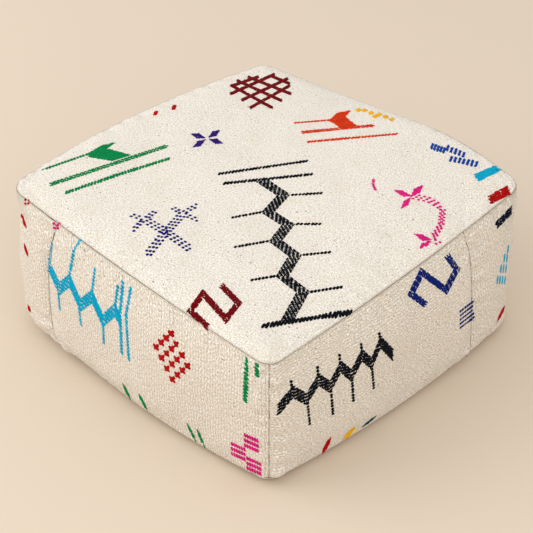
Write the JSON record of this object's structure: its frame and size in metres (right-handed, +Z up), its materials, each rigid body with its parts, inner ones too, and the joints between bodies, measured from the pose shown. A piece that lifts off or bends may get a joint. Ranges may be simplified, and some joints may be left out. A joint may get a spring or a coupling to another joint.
{
  "type": "square floor pouf",
  "caption": "Square stuffed floor pouf with a flat-woven cover of sewn panels, woven motifs and a zip under the base.",
  "frame": {"origin": "on the floor, below the middle of the pouf", "axes": "+Z up, X and Y square to the sides; the front sewn corner points to +X -Y"},
  "size_m": [0.6139, 0.6139, 0.2399],
  "materials": {
    "kilim_top": "matte",
    "kilim_side": "matte",
    "base_canvas": "matte",
    "calico": "matte",
    "wadding": "matte",
    "foam": "matte",
    "zip_tape": "matte",
    "zip_teeth": "satin",
    "zip_metal": "satin"
  },
  "bodies": {
    "pouf": {"top_panel": "kilim_top", "front_side_panel": "kilim_side", "right_side_panel": "kilim_side", "left_side_panel": "kilim_side", "back_side_panel": "kilim_side", "base_front": "base_canvas", "base_back": "base_canvas", "liner_top": "calico", "liner_band": "calico", "liner_base": "calico", "wadding_top": "wadding", "wadding_band": "wadding", "wadding_base": "wadding", "foam_core": "foam", "zip_tape_front": "zip_tape", "zip_tape_back": "zip_tape", "zip_teeth_front": "zip_teeth", "zip_teeth_back": "zip_teeth", "zip_top_stops": "zip_teeth", "zip_bottom_stop": "zip_teeth"},
    "slider": {"zip_slider": "zip_metal"},
    "pull": {"zip_pull": "zip_metal"}
  },
  "joints": [
    {"name": "zip_slide", "type": "slide", "parent": "pouf", "child": "slider", "axis": [1, 0, 0], "range_m": [-0.411, 0]},
    {"name": "pull_flip", "type": "hinge", "parent": "slider", "child": "pull", "pos_m": [0.2054, 0, 0.0081], "axis": [0, -1, 0], "range_deg": [0, 178]}
  ]
}
